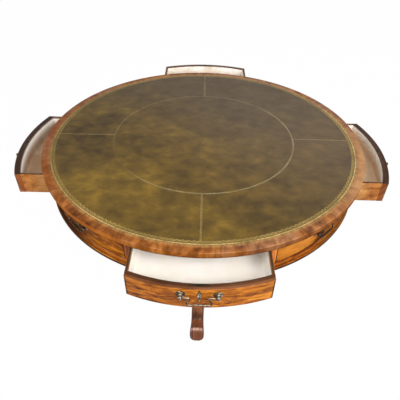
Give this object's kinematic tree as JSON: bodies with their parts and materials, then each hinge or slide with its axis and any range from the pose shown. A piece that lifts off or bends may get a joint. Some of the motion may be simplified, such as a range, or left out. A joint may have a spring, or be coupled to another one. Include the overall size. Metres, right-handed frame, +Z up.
{
  "type": "drum writing table",
  "caption": "Round writing table with a leather top on a revolving drum of drawers and false fronts, on a turned column with splayed cabriole legs.",
  "frame": {"origin": "centre of the writing surface, on the axis on which the drum turns", "axes": "+Z up, -Y out of the front drawer, +X out of the right-hand drawer; the back drawer stands furthest open, so the part is longest along Y"},
  "size_m": [1.4422, 1.5317, 0.76],
  "materials": {
    "mahogany": "french polished, figured",
    "crossbanding": "polished, grain across the rim",
    "carcase_wood": "plain",
    "drawer_wood": "waxed",
    "lining": "matt",
    "leather": "satin, gilt tooled",
    "brass": "dark patina",
    "iron": "blacked"
  },
  "bodies": {
    "pedestal": {"column": "mahogany", "leg_front": "mahogany", "leg_rear_right": "mahogany", "leg_rear_left": "mahogany", "tie_plate": "iron", "bearing_block": "carcase_wood", "pivot_spindle": "iron"},
    "drum": {"top_board": "carcase_wood", "top_border": "crossbanding", "leather_panels": "leather", "top_rail": "mahogany", "kickers": "carcase_wood", "partitions": "carcase_wood", "frieze_stiles": "mahogany", "false_fronts": "mahogany", "drawer_stops": "carcase_wood", "base_board": "carcase_wood", "base_moulding": "mahogany", "pivot_plate": "iron", "false_front_handle_posts": "brass"},
    "front_drawer": {"front_drawer_face": "mahogany", "front_drawer_sides": "drawer_wood", "front_drawer_back": "drawer_wood", "front_drawer_bottom": "drawer_wood", "front_drawer_lining": "lining", "front_drawer_lock": "brass", "front_drawer_handle_posts": "brass"},
    "front_drawer_bolt": {"front_drawer_lock_bolt": "brass"},
    "front_drawer_handle": {"front_drawer_bail": "brass"},
    "right_drawer": {"right_drawer_face": "mahogany", "right_drawer_sides": "drawer_wood", "right_drawer_back": "drawer_wood", "right_drawer_bottom": "drawer_wood", "right_drawer_lining": "lining", "right_drawer_lock": "brass", "right_drawer_handle_posts": "brass"},
    "right_drawer_bolt": {"right_drawer_lock_bolt": "brass"},
    "right_drawer_handle": {"right_drawer_bail": "brass"},
    "back_drawer": {"back_drawer_face": "mahogany", "back_drawer_sides": "drawer_wood", "back_drawer_back": "drawer_wood", "back_drawer_bottom": "drawer_wood", "back_drawer_lining": "lining", "back_drawer_lock": "brass", "back_drawer_handle_posts": "brass"},
    "back_drawer_bolt": {"back_drawer_lock_bolt": "brass"},
    "back_drawer_handle": {"back_drawer_bail": "brass"},
    "left_drawer": {"left_drawer_face": "mahogany", "left_drawer_sides": "drawer_wood", "left_drawer_back": "drawer_wood", "left_drawer_bottom": "drawer_wood", "left_drawer_lining": "lining", "left_drawer_lock": "brass", "left_drawer_handle_posts": "brass"},
    "left_drawer_bolt": {"left_drawer_lock_bolt": "brass"},
    "left_drawer_handle": {"left_drawer_bail": "brass"},
    "front_right_handle": {"bail_front_right": "brass"},
    "back_right_handle": {"bail_back_right": "brass"},
    "back_left_handle": {"bail_back_left": "brass"},
    "front_left_handle": {"bail_front_left": "brass"}
  },
  "joints": [
    {"name": "drum_turn", "type": "hinge", "parent": "pedestal", "child": "drum", "pos_m": [0, 0, -0.14], "axis": [0, 0, 1], "continuous": true},
    {"name": "front_drawer_slide", "type": "slide", "parent": "drum", "child": "front_drawer", "axis": [0, -1, 0], "range_m": [-0.1225, 0.1475]},
    {"name": "front_drawer_bail_lift", "type": "hinge", "parent": "front_drawer", "child": "front_drawer_handle", "pos_m": [0, -0.70161, -0.0685], "axis": [-1, 0, 0], "range_deg": [-10, 92]},
    {"name": "front_drawer_bolt_throw", "type": "slide", "parent": "front_drawer", "child": "front_drawer_bolt", "axis": [0, 0, 1], "range_m": [0, 0.007]},
    {"name": "right_drawer_slide", "type": "slide", "parent": "drum", "child": "right_drawer", "axis": [1, 0, 0], "range_m": [-0.132, 0.138]},
    {"name": "right_drawer_bail_lift", "type": "hinge", "parent": "right_drawer", "child": "right_drawer_handle", "pos_m": [0.71111, 0, -0.0685], "axis": [0, -1, 0], "range_deg": [-10, 92]},
    {"name": "right_drawer_bolt_throw", "type": "slide", "parent": "right_drawer", "child": "right_drawer_bolt", "axis": [0, 0, 1], "range_m": [0, 0.007]},
    {"name": "back_drawer_slide", "type": "slide", "parent": "drum", "child": "back_drawer", "axis": [0, 1, 0], "range_m": [-0.24, 0.03]},
    {"name": "back_drawer_bail_lift", "type": "hinge", "parent": "back_drawer", "child": "back_drawer_handle", "pos_m": [0, 0.81911, -0.0685], "axis": [1, 0, 0], "range_deg": [-10, 92]},
    {"name": "back_drawer_bolt_throw", "type": "slide", "parent": "back_drawer", "child": "back_drawer_bolt", "axis": [0, 0, 1], "range_m": [0, 0.007]},
    {"name": "left_drawer_slide", "type": "slide", "parent": "drum", "child": "left_drawer", "axis": [-1, 0, 0], "range_m": [-0.141, 0.129]},
    {"name": "left_drawer_bail_lift", "type": "hinge", "parent": "left_drawer", "child": "left_drawer_handle", "pos_m": [-0.72011, 0, -0.0685], "axis": [0, 1, 0], "range_deg": [-10, 92]},
    {"name": "left_drawer_bolt_throw", "type": "slide", "parent": "left_drawer", "child": "left_drawer_bolt", "axis": [0, 0, 1], "range_m": [0, 0.007]},
    {"name": "front_right_bail_lift", "type": "hinge", "parent": "drum", "child": "front_right_handle", "pos_m": [0.40949, -0.40949, -0.0685], "axis": [-0.7071, -0.7071, 0], "range_deg": [-10, 92]},
    {"name": "back_right_bail_lift", "type": "hinge", "parent": "drum", "child": "back_right_handle", "pos_m": [0.40949, 0.40949, -0.0685], "axis": [0.7071, -0.7071, 0], "range_deg": [-10, 92]},
    {"name": "back_left_bail_lift", "type": "hinge", "parent": "drum", "child": "back_left_handle", "pos_m": [-0.40949, 0.40949, -0.0685], "axis": [0.7071, 0.7071, 0], "range_deg": [-10, 92]},
    {"name": "front_left_bail_lift", "type": "hinge", "parent": "drum", "child": "front_left_handle", "pos_m": [-0.40949, -0.40949, -0.0685], "axis": [-0.7071, 0.7071, 0], "range_deg": [-10, 92]}
  ]
}
